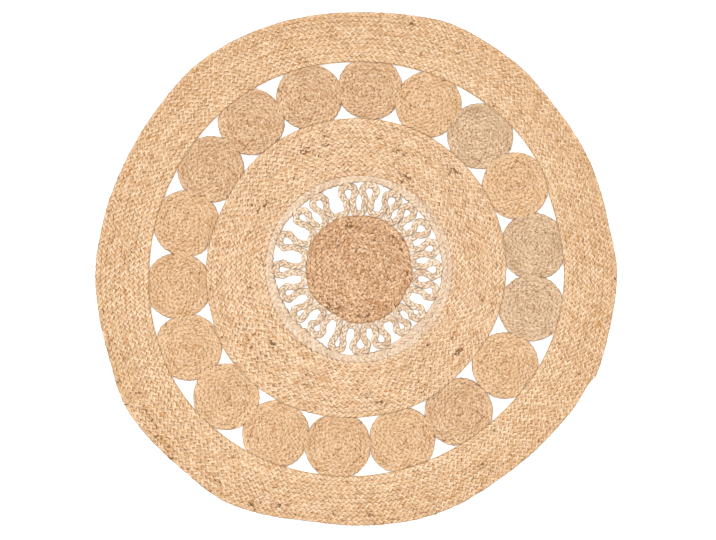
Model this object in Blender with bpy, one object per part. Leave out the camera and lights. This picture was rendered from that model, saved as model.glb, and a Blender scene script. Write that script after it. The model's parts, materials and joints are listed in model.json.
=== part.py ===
"""Round jute rug, about 1.2 m across, lying flat with its underside on z = 0.

The rug is a flat jute braid, coiled and sewn edge to edge. From the rim inwards it has an outer
band, a channel of eighteen small coiled discs, a middle ring, one pale round, a braid laid in
twenty loops, and a centre disc. Each piece is a flat slab of the braid's thickness with the
outline in which it lies. Angles are in degrees, counter-clockwise from +X, seen from above.
"""

import math

import bpy

MM = 0.001
THICKNESS = 8.0 * MM  # a jute braid lying flat
GAP = 0.3 * MM  # between pieces that are sewn edge to edge
COLLECTION = "round_jute_rug"

# Outer band: one braid, coiled outwards clockwise from its start to its end.
BAND_CENTRE = (-5.0 * MM, -2.0 * MM)
BAND_START = 27.0  # where the coil begins, on its inner edge
BAND_TAPER = 8.0  # the start is thinned over this angle
BAND_END = 334.0  # where the coil ends, a step in the rug's outline
BAND_END_TAPER = 2.5
BAND_ROUNDS = 11  # whole rounds, and the part round from the start to the end
BAND_STEPS = 120  # points on each edge

# angle, radius of the coil's inner edge without its steps (mm), width of the braid there (mm)
BAND_ROWS = (
    (0, 483, 10.3),
    (10, 480, 9.8),
    (25, 480, 10.0),
    (40, 482, 9.8),
    (50, 479, 10.7),
    (60, 477, 11.1),
    (70, 474, 11.6),
    (77, 473, 11.0),
    (90, 471, 10.6),
    (115, 471, 10.9),
    (128, 468, 11.2),
    (138, 466, 10.7),
    (152, 463, 10.6),
    (170, 465, 11.0),
    (180, 467, 11.4),
    (190, 472, 11.1),
    (201, 477, 11.0),
    (210, 482, 11.7),
    (221, 484, 11.3),
    (230, 483, 11.1),
    (240, 481, 11.7),
    (250, 478, 11.0),
    (260, 475, 10.2),
    (270, 473, 10.5),
    (290, 469, 11.2),
    (305, 469, 10.7),
    (320, 473, 10.8),
    (332, 479, 11.0),
    (345, 483, 10.2),
)

# Middle ring, pale round, loops and centre disc share one centre.
RING_CENTRE = (5.5 * MM, 0.0)
RING_STEPS = 120
PALE_OUTER = 216.0 * MM  # where the pale round meets the middle ring
PALE_STEPS = 90

# angle, radius of the middle ring's outer edge (mm)
RING_ROWS = (
    (-2, 341),
    (18, 342),
    (38, 343),
    (56, 346),
    (77, 348),
    (93, 349),
    (115, 351),
    (134, 349),
    (155, 346),
    (176, 353),
    (196, 357),
    (214, 364),
    (236, 358),
    (254, 350),
    (275, 342),
    (295, 341),
    (317, 335),
    (338, 339),
)

# Small discs, counter-clockwise from the one at +X: centre (mm), radius before it is squashed (mm)
DISC_ROWS = (
    (410, 51, 78),
    (368, 192, 78),
    (286, 307, 76),
    (166, 381, 77),
    (31, 419, 75),
    (-108, 398, 77),
    (-243, 340, 78),
    (-337, 230, 78),
    (-393, 105, 78),
    (-412, -39, 78),
    (-389, -180, 78),
    (-301, -295, 78),
    (-186, -382, 79),
    (-43, -407, 78),
    (104, -397, 78),
    (236, -330, 80),
    (344, -223, 78),
    (404, -89, 77),
)
DISC_STEPS = 40
WALL_GAP = 0.5 * MM  # to the bands' edges, so that GAP is left where their straight steps meet

# Loop braid: the angle of each loop's teardrop hole, the hole's width (mm), the radius that the
# loop's head reaches (mm), and the radius where the space to the next loop begins (mm)
LOOP_ROWS = (
    (-0.4, 14.5, 195, 134),
    (16.1, 11.5, 195, 138),
    (33.0, 13.0, 196, 139),
    (49.3, 10.0, 195, 139),
    (64.5, 12.5, 200, 139),
    (82.3, 13.0, 205, 136),
    (98.1, 12.5, 202, 139),
    (121.0, 11.5, 201, 138),
    (137.5, 10.5, 201, 139),
    (158.8, 13.5, 204, 136),
    (180.2, 9.0, 201, 136),
    (198.5, 9.0, 195, 137),
    (216.6, 7.5, 194, 133),
    (234.8, 11.5, 191, 133),
    (253.9, 7.0, 203, 139),
    (271.0, 14.0, 201, 139),
    (287.7, 11.5, 194, 139),
    (306.7, 9.5, 188, 137),
    (323.0, 8.5, 188, 134),
    (342.8, 11.0, 194, 139),
)
LEG_WIDTH = 15.0 * MM  # the pale braid where it runs straight
HEAD_WIDTH = 16.6 * MM  # and where it is bent round
LEG_CLEARANCE = 0.8 * MM  # from a loop's middle line to each leg
HOLE_LENGTH = 24.0 * MM
LOWEST_NECK = 157.0 * MM  # no hole begins nearer the centre than this
CORNER = math.sqrt(0.5)  # places the middle of a rounded corner
FOOT_CORNER = 0.78  # the feet are a little squarer than an arc
FOOT_DEPTH = 13.0 * MM

DISC_RIM_STEPS = 60


def smooth_value(rows, column, angle):
    """A column of a table of angles, read between its rows along one smooth closed curve."""
    count = len(rows)
    first = rows[0][0]
    turned = first + (angle - first) % 360.0
    low = max(index for index in range(count) if rows[index][0] <= turned)

    def knot(index):
        lap, place = divmod(index, count)
        return rows[place][0] + 360.0 * lap, rows[place][column]

    (a0, v0), (a1, v1), (a2, v2), (a3, v3) = (knot(low + step) for step in (-1, 0, 1, 2))
    span = a2 - a1
    slope1 = (v2 - v0) / (a2 - a0) * span
    slope2 = (v3 - v1) / (a3 - a1) * span
    t = (turned - a1) / span
    return (
        (2 * t**3 - 3 * t**2 + 1) * v1
        + (t**3 - 2 * t**2 + t) * slope1
        + (3 * t**2 - 2 * t**3) * v2
        + (t**3 - t**2) * slope2
    )


def ease(share):
    """0 to 1, starting and ending softly."""
    share = min(max(share, 0.0), 1.0)
    return share * share * (3.0 - 2.0 * share)


def polar(centre, angle, radius):
    """The point at an angle and radius from a centre."""
    turn = math.radians(angle)
    return centre[0] + radius * math.cos(turn), centre[1] + radius * math.sin(turn)


def seen_from(centre, point):
    """A point's angle and radius about a centre."""
    x = point[0] - centre[0]
    y = point[1] - centre[1]
    return math.degrees(math.atan2(y, x)) % 360.0, math.hypot(x, y)


def band_braid(angle):
    """The outer band's coil at an angle: its inner radius without steps, and its braid's width."""
    return smooth_value(BAND_ROWS, 1, angle) * MM, smooth_value(BAND_ROWS, 2, angle) * MM


def band_inner(angle):
    """The outer band's inner edge, which steps in by one braid where the coil starts."""
    radius, width = band_braid(angle)
    wound = (BAND_START - angle) % 360.0
    return radius + width * (wound / 360.0 + 1.0 - ease(wound / BAND_TAPER))


def band_outer(angle):
    """The outer band's outer edge, which steps in by one braid where the coil ends."""
    radius, width = band_braid(angle)
    wound = (BAND_START - angle) % 360.0
    to_end = (BAND_START - BAND_END) % 360.0 - wound
    past_whole = ease(to_end / BAND_END_TAPER) if to_end > 0.0 else 0.0
    return radius + width * (BAND_ROUNDS + wound / 360.0 + past_whole)


def ring_outer(angle):
    """The middle ring's outer edge."""
    return smooth_value(RING_ROWS, 1, angle) * MM


def loop_heads(angle):
    """The radius that the loops' heads reach, read smoothly between loops."""
    return smooth_value([(row[0], row[2]) for row in LOOP_ROWS], 1, angle) * MM


def foot_angle(index):
    """The angle halfway between a loop and the next."""
    turn = 360.0 if index == len(LOOP_ROWS) - 1 else 0.0
    return (LOOP_ROWS[index][0] + LOOP_ROWS[(index + 1) % len(LOOP_ROWS)][0] + turn) / 2.0


def disc_rim(angle):
    """The centre disc's rim, just inside the loops' feet."""
    rows = [(foot_angle(index), row[3]) for index, row in enumerate(LOOP_ROWS)]
    return smooth_value(rows, 1, angle) * MM - LEG_WIDTH - 2.0 * GAP


def chord_radius(edge, steps, angle):
    """The radius of an edge drawn with straight steps, which is what the solid has."""
    step = 360.0 / steps
    start = math.floor(angle / step) * step
    before = edge(start)
    after = edge(start + step)
    into = math.radians(angle - start)
    left = math.radians(start + step - angle)
    return before * after * math.sin(into + left) / (before * math.sin(into) + after * math.sin(left))


def ring_of_points(edge, centre, steps, offset=0.0):
    """An edge as evenly turned points round a centre."""
    angles = (360.0 * step / steps for step in range(steps))
    return [polar(centre, angle, edge(angle) + offset) for angle in angles]


def band_rim_points():
    """The rug's outline, with the closer points that the braid's end needs."""
    step = 360.0 / BAND_STEPS
    angles = [step * index for index in range(BAND_STEPS)]
    angles += [BAND_END + BAND_END_TAPER * share for share in (0.0, 0.25, 0.5, 0.75)]
    angles += [BAND_END - 0.1]
    return [polar(BAND_CENTRE, angle, band_outer(angle)) for angle in sorted(angles)]


def disc_outline(index):
    """A small disc's outline: a circle squashed by the bands and by its two neighbours."""
    count = len(DISC_ROWS)
    x, y, radius = (value * MM for value in DISC_ROWS[index])
    sides = []
    for neighbour in (DISC_ROWS[index - 1], DISC_ROWS[(index + 1) % count]):
        away_x = neighbour[0] * MM - x
        away_y = neighbour[1] * MM - y
        apart = math.hypot(away_x, away_y)
        reach = (apart + (radius**2 - (neighbour[2] * MM) ** 2) / apart) / 2.0 - GAP / 2.0
        sides.append((away_x / apart, away_y / apart, reach))

    def is_free(px, py):
        if any((px - x) * nx + (py - y) * ny > reach for nx, ny, reach in sides):
            return False
        angle, distance = seen_from(BAND_CENTRE, (px, py))
        if distance > chord_radius(band_inner, BAND_STEPS, angle) - WALL_GAP:
            return False
        angle, distance = seen_from(RING_CENTRE, (px, py))
        return distance > chord_radius(ring_outer, RING_STEPS, angle) + WALL_GAP

    points = []
    for step in range(DISC_STEPS):
        turn = 2.0 * math.pi * step / DISC_STEPS
        near, far = 0.0, radius
        if is_free(x + far * math.cos(turn), y + far * math.sin(turn)):
            near = far
        for _halving in range(24):
            middle = (near + far) / 2.0
            if is_free(x + middle * math.cos(turn), y + middle * math.sin(turn)):
                near = middle
            else:
                far = middle
        points.append((x + near * math.cos(turn), y + near * math.sin(turn)))
    return points


def beside(angle, aside, radius):
    """A point aside from the line that leaves the ring's centre at an angle."""
    turn = math.radians(angle)
    return (
        RING_CENTRE[0] + radius * math.cos(turn) - aside * math.sin(turn),
        RING_CENTRE[1] + radius * math.sin(turn) + aside * math.cos(turn),
    )


def loop_route():
    """The loop braid's middle line: its turning points, each with the braid's width there."""
    route = []
    for index, (angle, hole, head, _foot) in enumerate(LOOP_ROWS):
        leg = LEG_WIDTH / 2.0 + LEG_CLEARANCE
        side = hole * MM / 2.0 + HEAD_WIDTH / 2.0
        top = head * MM - HEAD_WIDTH / 2.0
        shoulder = top - side
        neck = max(LOWEST_NECK, top - HEAD_WIDTH / 2.0 - HOLE_LENGTH)
        half_loop = (
            (leg, neck, LEG_WIDTH),
            (side, shoulder, HEAD_WIDTH),
            (side * CORNER, shoulder + side * CORNER, HEAD_WIDTH),
        )
        feet = (foot_points(index - 1, angle, -leg), foot_points(index, angle, leg))
        route += feet[0]
        route += [(*beside(angle, -aside, radius), width) for aside, radius, width in half_loop]
        route.append((*beside(angle, 0.0, top), HEAD_WIDTH))
        route += [(*beside(angle, aside, radius), width) for aside, radius, width in reversed(half_loop)]
        route += reversed(feet[1][1:])
    return route


def foot_points(index, angle, leg):
    """A foot's middle, its corner and its leg, towards the loop whose line is at an angle."""
    index %= len(LOOP_ROWS)
    low = LOOP_ROWS[index][3] * MM - LEG_WIDTH / 2.0
    high = low + FOOT_DEPTH
    middle = foot_angle(index)
    leg_angle, leg_radius = seen_from(RING_CENTRE, beside(angle, leg, high))
    turned = (leg_angle - middle + 180.0) % 360.0 - 180.0
    corner_radius = high - FOOT_DEPTH * FOOT_CORNER
    return [
        (*polar(RING_CENTRE, middle, low), LEG_WIDTH),
        (*polar(RING_CENTRE, middle + turned * FOOT_CORNER, corner_radius), LEG_WIDTH),
        (*polar(RING_CENTRE, leg_angle, leg_radius), LEG_WIDTH),
    ]


def smooth_closed(route, parts):
    """A smooth closed curve through points of any number of values, each span cut in parts."""
    count = len(route)
    curve = []
    for index in range(count):
        before, start, end, after = (route[(index + step) % count] for step in (-1, 0, 1, 2))
        for part in range(parts):
            t = part / parts
            curve.append(
                tuple(
                    b + 0.5 * t * (c - a + t * (2 * a - 5 * b + 4 * c - d + t * (3 * (b - c) + d - a)))
                    for a, b, c, d in zip(before, start, end, after)
                )
            )
    return curve


def braid_edges(middle_line):
    """The two edges of a closed braid, half its width to each side of its middle line."""
    count = len(middle_line)
    left = []
    right = []
    for index, (x, y, width) in enumerate(middle_line):
        back = middle_line[index - 1]
        on = middle_line[(index + 1) % count]
        along_x = on[0] - back[0]
        along_y = on[1] - back[1]
        scale = width / 2.0 / math.hypot(along_x, along_y)
        left.append((x - along_y * scale, y + along_x * scale))
        right.append((x + along_y * scale, y - along_x * scale))
    return left, right


def jute(name, colour):
    """A matt jute finish."""
    material = bpy.data.materials.new(name)
    material.use_nodes = True
    shader = material.node_tree.nodes["Principled BSDF"]
    shader.inputs["Base Color"].default_value = (*colour, 1.0)
    shader.inputs["Roughness"].default_value = 0.9
    shader.inputs["Metallic"].default_value = 0.0
    material.diffuse_color = (*colour, 1.0)
    return material


def slab(name, edges, material, collection):
    """A flat piece resting on z = 0: its outer edge, and the edge of its hole if it has one."""
    curve = bpy.data.curves.new(name, "CURVE")
    curve.dimensions = "2D"
    curve.fill_mode = "BOTH"
    curve.extrude = THICKNESS / 2.0
    for edge in edges:
        spline = curve.splines.new("POLY")
        spline.points.add(len(edge) - 1)
        for point, (x, y) in zip(spline.points, edge):
            point.co = (x, y, 0.0, 1.0)
        spline.use_cyclic_u = True
    curve.materials.append(material)
    piece = bpy.data.objects.new(name, curve)
    piece.location.z = THICKNESS / 2.0
    collection.objects.link(piece)
    return piece


def make_outer_band(collection):
    inner = ring_of_points(band_inner, BAND_CENTRE, BAND_STEPS)
    slab("outer_band", [band_rim_points(), inner], jute("golden_braid", (0.80, 0.53, 0.31)), collection)


def make_small_discs(collection):
    tones = {
        "gold": jute("gold_disc_braid", (0.79, 0.51, 0.29)),
        "brown": jute("brown_disc_braid", (0.72, 0.44, 0.25)),
        "grey": jute("grey_disc_braid", (0.71, 0.48, 0.30)),
    }
    brown = (5, 6, 7, 8, 16)
    grey = (1, 3, 18)
    for number in range(1, len(DISC_ROWS) + 1):
        tone = "brown" if number in brown else "grey" if number in grey else "gold"
        slab(f"small_disc_{number:02d}", [disc_outline(number - 1)], tones[tone], collection)


def make_middle_ring(collection):
    outer = ring_of_points(ring_outer, RING_CENTRE, RING_STEPS)
    inner = ring_of_points(lambda angle: PALE_OUTER, RING_CENTRE, PALE_STEPS, GAP)
    slab("middle_ring", [outer, inner], jute("streaked_braid", (0.80, 0.53, 0.31)), collection)


def make_pale_pieces(collection):
    pale = jute("pale_braid", (0.80, 0.61, 0.44))
    outer = ring_of_points(lambda angle: PALE_OUTER, RING_CENTRE, PALE_STEPS)
    inner = ring_of_points(loop_heads, RING_CENTRE, PALE_STEPS, 3.0 * GAP)
    slab("pale_round", [outer, inner], pale, collection)
    slab("loop_braid", braid_edges(smooth_closed(loop_route(), 2)), pale, collection)


def make_centre_disc(collection):
    rim = ring_of_points(disc_rim, RING_CENTRE, DISC_RIM_STEPS)
    slab("centre_disc", [rim], jute("brown_braid", (0.69, 0.41, 0.22)), collection)


def clear_scene():
    for piece in list(bpy.data.objects):
        bpy.data.objects.remove(piece, do_unlink=True)


def build_rug():
    clear_scene()
    collection = bpy.data.collections.new(COLLECTION)
    bpy.context.scene.collection.children.link(collection)
    make_outer_band(collection)
    make_small_discs(collection)
    make_middle_ring(collection)
    make_pale_pieces(collection)
    make_centre_disc(collection)


build_rug()
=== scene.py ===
"""The looks of a round jute rug: flat three-strand braids, coiled and sewn edge to edge."""

import json
import math

import bmesh
import bpy
import numpy as np
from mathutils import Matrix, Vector


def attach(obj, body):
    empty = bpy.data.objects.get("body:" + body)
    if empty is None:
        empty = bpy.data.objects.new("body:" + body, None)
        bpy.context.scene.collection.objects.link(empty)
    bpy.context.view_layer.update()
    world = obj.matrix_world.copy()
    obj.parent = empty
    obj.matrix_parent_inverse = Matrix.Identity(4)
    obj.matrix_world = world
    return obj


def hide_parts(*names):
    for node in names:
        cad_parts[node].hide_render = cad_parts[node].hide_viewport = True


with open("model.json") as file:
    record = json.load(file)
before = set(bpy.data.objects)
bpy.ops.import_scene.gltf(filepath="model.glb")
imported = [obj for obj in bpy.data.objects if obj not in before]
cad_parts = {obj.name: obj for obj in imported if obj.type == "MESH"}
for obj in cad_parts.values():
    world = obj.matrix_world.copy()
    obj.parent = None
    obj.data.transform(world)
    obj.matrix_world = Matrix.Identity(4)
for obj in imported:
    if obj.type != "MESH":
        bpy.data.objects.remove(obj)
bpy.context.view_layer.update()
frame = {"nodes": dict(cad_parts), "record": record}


# ---- The view ----------------------------------------------------------------------------------
# The photograph looks straight down at the rug, with its top edge towards +Y. One of its pixels
# is 2.308 mm on the rug, and a long lens high above the floor gives the same field.
MM = 0.001
PIXEL = 2.308 * MM
FRAME_WIDTH = 716 * PIXEL
FRAME_CENTRE = (358.0, 270.0)
ORIGIN_PIXEL = (356.5, 269.0)  # where the rug's own origin lies in the photograph
RUG_TOP = 8.0 * MM


def placed(name, data):
    """A new object in the scene."""
    thing = bpy.data.objects.new(name, data)
    bpy.context.scene.collection.objects.link(thing)
    return thing


overhead = bpy.data.cameras.new("overhead")
overhead.lens = 85.0
overhead.sensor_width = 36.0
camera = placed("overhead", overhead)
camera.location = (
    (FRAME_CENTRE[0] - ORIGIN_PIXEL[0]) * PIXEL,
    (ORIGIN_PIXEL[1] - FRAME_CENTRE[1]) * PIXEL,
    RUG_TOP + FRAME_WIDTH * overhead.lens / overhead.sensor_width,
)
bpy.context.scene.camera = camera


# ---- Centre disc -------------------------------------------------------------------------------
# The middle of the rug: a brown braid of three jute strands, its tip curled round and the rest
# coiled about it in ten rounds that are sewn edge to edge.
RING_CENTRE = (5.5 * MM, 0.0)  # the middle of the pieces that the small discs surround
CENTRE_ROUNDS = 10
CENTRE_TAPER = 75.0  # degrees over which a disc's braid starts, ends and shifts to its next round
CENTRE_START = 200.0  # degrees, where the braid's tip lies
CENTRE_STITCH = 11.0 * MM
CENTRE_PRESSED = 2.5 * MM  # how far its last round is pressed against the loops' feet
CENTRE_FLECKS = 0.07  # how much more flecked it is at its rim
SEWN_ON = 5.5 * MM  # the loops' feet are sewn to a narrow pressed edge all round the disc
DISC_STEP = 3.0  # degrees between the points of a disc's line
RIM_STEP = 4.0  # and between those of a core's rim

# How the golden and the brown braid are plaited; the sizes are of a braid GOLDEN_BRAID wide.
STRANDS = 3
GOLDEN_BRAID = 10.8 * MM
TIGHT_PLAIT = {
    "Pitch": 12.1 * MM,  # from stitch to stitch
    "Swing": 3.7 * MM,  # how far a strand goes to each side of the middle
    "Snap": 0.45,  # how much quicker it crosses on top than underneath
    "Lift": 1.1 * MM,  # how far it rises and dips
    "Strand width": 8.0 * MM,
    "Strand height": 5.5 * MM,
    "Ring spacing": 3.8 * MM,  # between the rings of points that a strand is made of
    "Unevenness": 1.3 * MM,  # how lumpy it lies
    "Seed": 1,
}
FLAT_TOP = 1.6  # above 1, a strand lies level for a while before it dips
PROUD = 2.2 * MM  # how far the strands reach past the edge of their round
CORE_EDGE = PROUD - 0.2 * MM  # the pressed jute under them ends just short of the rim
SPOKES = 6  # points round a strand

# How uneven hand-spun and hand-laid jute is: the length of each kind of unevenness, and its share.
WANDER_LENGTHS = (0.061, 0.097, 0.173)  # metres
PULL_LENGTH, PULL = 23.0 * MM, 0.4  # drawn tighter or looser
SWELL_LENGTH, SWELL = 14.0 * MM, 0.6  # thicker or thinner
LUMP_LENGTH = 16.0 * MM
STITCH_DRIFT = 3.5 * MM  # how far the stitches stray from even spacing
THINNEST = 0.2  # the least share of its width that a braid thins out to
FLATTEST = 0.3  # and the least share of its thickness
TWIST_LENGTH = 55.0 * MM  # one full twist of a strand's fibres
FIBRE_RADIUS = 2.6 * MM
OWN_SWELL, OWN_FIBRES = 9.7, 41.0  # how far apart the three strands' patterns are read
MARK_REACH = (19.0 * MM, 6.0 * MM)  # how far a mark of old jute reaches along a braid and across
MARK_DARKNESS = 0.21  # how much more flecked the braid is at the middle of a mark


def soft_step(share):
    """0 to 1, starting and ending softly."""
    share = np.clip(share, 0.0, 1.0)
    return share * share * (3.0 - 2.0 * share)


def rim_of(node, centre, nearest, farthest, proud=PROUD):
    """A slab's rim as the frame has it, a function from degrees to the radius about a centre.

    The rounds stop short of it by as much as their strands stand proud."""
    spots = {(round(v.co.x, 5), round(v.co.y, 5)) for v in frame["nodes"][node].data.vertices}
    away = np.array(sorted(spots)) - centre
    radii = np.hypot(away[:, 0], away[:, 1])
    kept = (radii > nearest) & (radii < farthest)
    angles = np.degrees(np.arctan2(away[kept, 1], away[kept, 0]))
    order = np.argsort(angles)
    return lambda angle: np.interp(angle, angles[order], radii[kept][order], period=360.0) - proud


def around(centre, angle, radius):
    """Points at angles in degrees and radii from a centre."""
    turn = np.radians(angle)
    return np.column_stack([centre[0] + radius * np.cos(turn), centre[1] + radius * np.sin(turn)])


def wander(run, seed):
    """A slow unevenness of a hand-laid braid, from -1 to 1 along its run in metres."""
    draw = np.random.default_rng(seed)
    waves = [(length, draw.uniform(0.0, 2.0 * math.pi)) for length in WANDER_LENGTHS]
    rises = [np.sin(2.0 * math.pi * run / length + start) for length, start in waves]
    return sum(rises) / len(rises)


def shades(run, slowness, seed, uneven, first=0.0, last=0.0, outward=0.0):
    """How pale a braid is: from first to last as it goes outward, and slowly uneven."""
    return first + (last - first) * outward + uneven * wander(run / slowness, seed)


def run_along(points):
    """The distance from the first point to each point of a line."""
    steps = np.hypot(*np.diff(points, axis=0).T)
    return np.concatenate([[0.0], np.cumsum(steps)])


def coil(rounds, taper, step):
    """Rounds of one braid: the degrees wound, its middle line and its width, both in braids.

    Each round is even, and shifts out to the next over the taper, where the braid also starts
    and ends as a point."""
    wound = np.arange(0.0, rounds * 360.0 + taper, step)
    lap, turned = np.divmod(wound, 360.0)
    shifted = soft_step(turned / taper)
    inner = np.where(lap == 0, 0.0, lap - 1.0 + shifted)
    wide = np.where(lap == 0, shifted, np.where(lap == rounds, 1.0 - shifted, 1.0))
    return wound, inner + wide / 2.0, wide


def marks(line, places, centre):
    """How flecked a braid is near marks of old jute, each longer along the braid than across it.

    The places are degrees and mm from a centre."""
    dark = np.zeros(len(line))
    for degrees, radius in places:
        off = line - around(centre, degrees, radius * MM)[0]
        turn = math.radians(degrees)
        along = (off[:, 1] * math.cos(turn) - off[:, 0] * math.sin(turn)) / MARK_REACH[0]
        across = (off[:, 0] * math.cos(turn) + off[:, 1] * math.sin(turn)) / MARK_REACH[1]
        dark = np.maximum(dark, MARK_DARKNESS * np.exp(-(along**2) - across**2))
    return dark


def traits_of(run, braid, tone, dark=0.0):
    """What varies along a braid of a given width; where it thins out to a point it is flatter too.

    It is fully thick from two thirds of the golden braid's width."""
    size = braid / GOLDEN_BRAID
    return {
        "run": run + STITCH_DRIFT * wander(run, seed=1),
        "wide": np.maximum(size, THINNEST),
        "thick": np.clip(size * 1.5, FLATTEST, 1.0),
        "tone": tone,
        "dark": dark + np.zeros(len(run)),
    }


def add_node(tree, kind, inputs=None, **settings):
    """A new node with its settings; each input is linked from a socket or given a value."""
    node = tree.nodes.new(kind)
    for name, value in settings.items():
        setattr(node, name, value)
    for place, value in (inputs or {}).items():
        if isinstance(value, bpy.types.NodeSocket):
            tree.links.new(value, node.inputs[place])
        else:
            node.inputs[place].default_value = value
    return node


def maths(tree, operation, *values):
    """One step of arithmetic on sockets and numbers."""
    node = add_node(tree, "ShaderNodeMath", dict(enumerate(values)), operation=operation)
    return node.outputs[0]


def vectors(tree, operation, *values):
    """One step of arithmetic on vectors, or their scaling by the last value."""
    places = (0, "Scale") if operation == "SCALE" else (0, 1, 2)
    node = add_node(tree, "ShaderNodeVectorMath", dict(zip(places, values)), operation=operation)
    return node.outputs["Value" if operation == "DOT_PRODUCT" else "Vector"]


def plait_tree():
    """Three strands plaited along each line of a mesh: over and under, from side to side."""
    tree = bpy.data.node_groups.new("plait", "GeometryNodeTree")
    sockets = {name: "NodeSocketFloat" for name in TIGHT_PLAIT}
    sockets |= {"Line": "NodeSocketGeometry", "Seed": "NodeSocketInt", "Finish": "NodeSocketMaterial"}
    for name in ("Line", *(name for name in sockets if name != "Line")):
        tree.interface.new_socket(name, in_out="INPUT", socket_type=sockets[name])
    tree.interface.new_socket("Strands", in_out="OUTPUT", socket_type="NodeSocketGeometry")
    given = add_node(tree, "NodeGroupInput").outputs

    def geometry(kind, inputs, **settings):
        return add_node(tree, f"GeometryNode{kind}", inputs, **settings).outputs[0]

    def attribute(name, kind="FLOAT"):
        return geometry("InputNamedAttribute", {"Name": name}, data_type=kind)

    def stored(shape, name, value, kind="FLOAT"):
        inputs = {"Geometry": shape, "Name": name, "Value": value}
        return geometry("StoreNamedAttribute", inputs, data_type=kind, domain="POINT")

    def combined(x, y, z):
        return add_node(tree, "ShaderNodeCombineXYZ", {"X": x, "Y": y, "Z": z}).outputs[0]

    def times(first, second):
        return maths(tree, "MULTIPLY", first, second)

    def uneven(spot, detail, share):
        """A factor about 1 that varies from place to place by a share."""
        noise = {"Vector": spot, "Scale": 1.0, "Detail": detail}
        noise = add_node(tree, "ShaderNodeTexNoise", noise).outputs[0]
        return maths(tree, "MULTIPLY_ADD", maths(tree, "SUBTRACT", noise, 0.5), share, 1.0)

    line = geometry("MeshToCurve", {"Mesh": given["Line"]})
    line = geometry("ResampleCurve", {"Curve": line, "Length": given["Ring spacing"]}, mode="LENGTH")
    line = geometry("SetCurveNormal", {"Curve": line}, mode="Z_UP")
    tangent = add_node(tree, "GeometryNodeInputTangent").outputs[0]
    side = vectors(tree, "NORMALIZE", vectors(tree, "CROSS_PRODUCT", tangent, (0.0, 0.0, 1.0)))
    line = stored(line, "side", side, "FLOAT_VECTOR")
    place = add_node(tree, "GeometryNodeInputPosition").outputs[0]
    line = stored(line, "middle", place, "FLOAT_VECTOR")
    copies = {"Geometry": line, "Amount": STRANDS}
    copies = add_node(tree, "GeometryNodeDuplicateElements", copies, domain="SPLINE").outputs
    strands = stored(copies["Geometry"], "strand", copies["Duplicate Index"])

    # each strand swings once from side to side while it rises and dips twice
    turns = maths(tree, "DIVIDE", attribute("run"), times(given["Pitch"], STRANDS))
    turns = maths(tree, "ADD", turns, maths(tree, "DIVIDE", attribute("strand"), STRANDS))
    phase = times(turns, 2.0 * math.pi)
    quick = maths(tree, "COSINE", times(phase, 2.0))
    phase = maths(tree, "SUBTRACT", phase, times(quick, given["Snap"]))
    pull = uneven(combined(times(attribute("run"), 1.0 / PULL_LENGTH), given["Seed"], 0.0), 0.0, PULL)
    aside = times(times(maths(tree, "SINE", phase), given["Swing"]), pull)
    rise = times(maths(tree, "SINE", times(phase, 2.0)), FLAT_TOP)
    rise = maths(tree, "MAXIMUM", maths(tree, "MINIMUM", rise, 1.0), -1.0)
    rise = times(times(rise, given["Lift"]), attribute("thick"))
    shift = vectors(tree, "SCALE", attribute("side", "FLOAT_VECTOR"), aside)
    shift = vectors(tree, "ADD", shift, combined(0.0, 0.0, rise))
    strands = geometry("SetPosition", {"Geometry": strands, "Offset": shift})

    # three numbers of each visible stitch's own: how pale it is, its warmth and how much painted shade
    # it gets
    count = maths(tree, "FLOOR", times(turns, 2.0))
    count = combined(count, attribute("strand"), given["Seed"])
    own = add_node(tree, "ShaderNodeTexWhiteNoise", {"Vector": count}).outputs["Color"]
    strands = stored(strands, "stitch", own, "FLOAT_VECTOR")

    # a flattened strand, thicker and thinner along its run
    ring = geometry("CurvePrimitiveCircle", {"Resolution": SPOKES, "Radius": 1.0})
    factor = add_node(tree, "GeometryNodeSplineParameter").outputs["Factor"]
    ring = stored(ring, "turn", times(factor, 2.0 * math.pi))
    half_width = maths(tree, "DIVIDE", given["Strand width"], 2.0)
    half_height = maths(tree, "DIVIDE", given["Strand height"], 2.0)
    ring = geometry("Transform", {"Geometry": ring, "Scale": combined(half_width, half_height, 1.0)})
    along = times(attribute("run"), 1.0 / SWELL_LENGTH)
    spot = combined(along, times(attribute("strand"), OWN_SWELL), given["Seed"])
    thickness = times(attribute("thick"), uneven(spot, 1.0, SWELL))
    inputs = {"Curve": strands, "Profile Curve": ring, "Scale": thickness, "Fill Caps": True}
    mesh = geometry("CurveToMesh", inputs)

    # where each point lies on its strand, for the fibres' pattern
    twist = times(attribute("run"), 2.0 * math.pi / TWIST_LENGTH)
    twisted = maths(tree, "ADD", twist, attribute("turn"))
    fibre = combined(
        maths(tree, "MULTIPLY_ADD", attribute("strand"), OWN_FIBRES, attribute("run")),
        times(maths(tree, "COSINE", twisted), FIBRE_RADIUS),
        times(maths(tree, "SINE", twisted), FIBRE_RADIUS),
    )
    mesh = stored(mesh, "fibre", fibre, "FLOAT_VECTOR")
    # how far each point faces up or down, for the painted shade on the strands' flanks
    upward = times(maths(tree, "SINE", attribute("turn")), -1.0)
    mesh = stored(mesh, "crown", upward)

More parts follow.
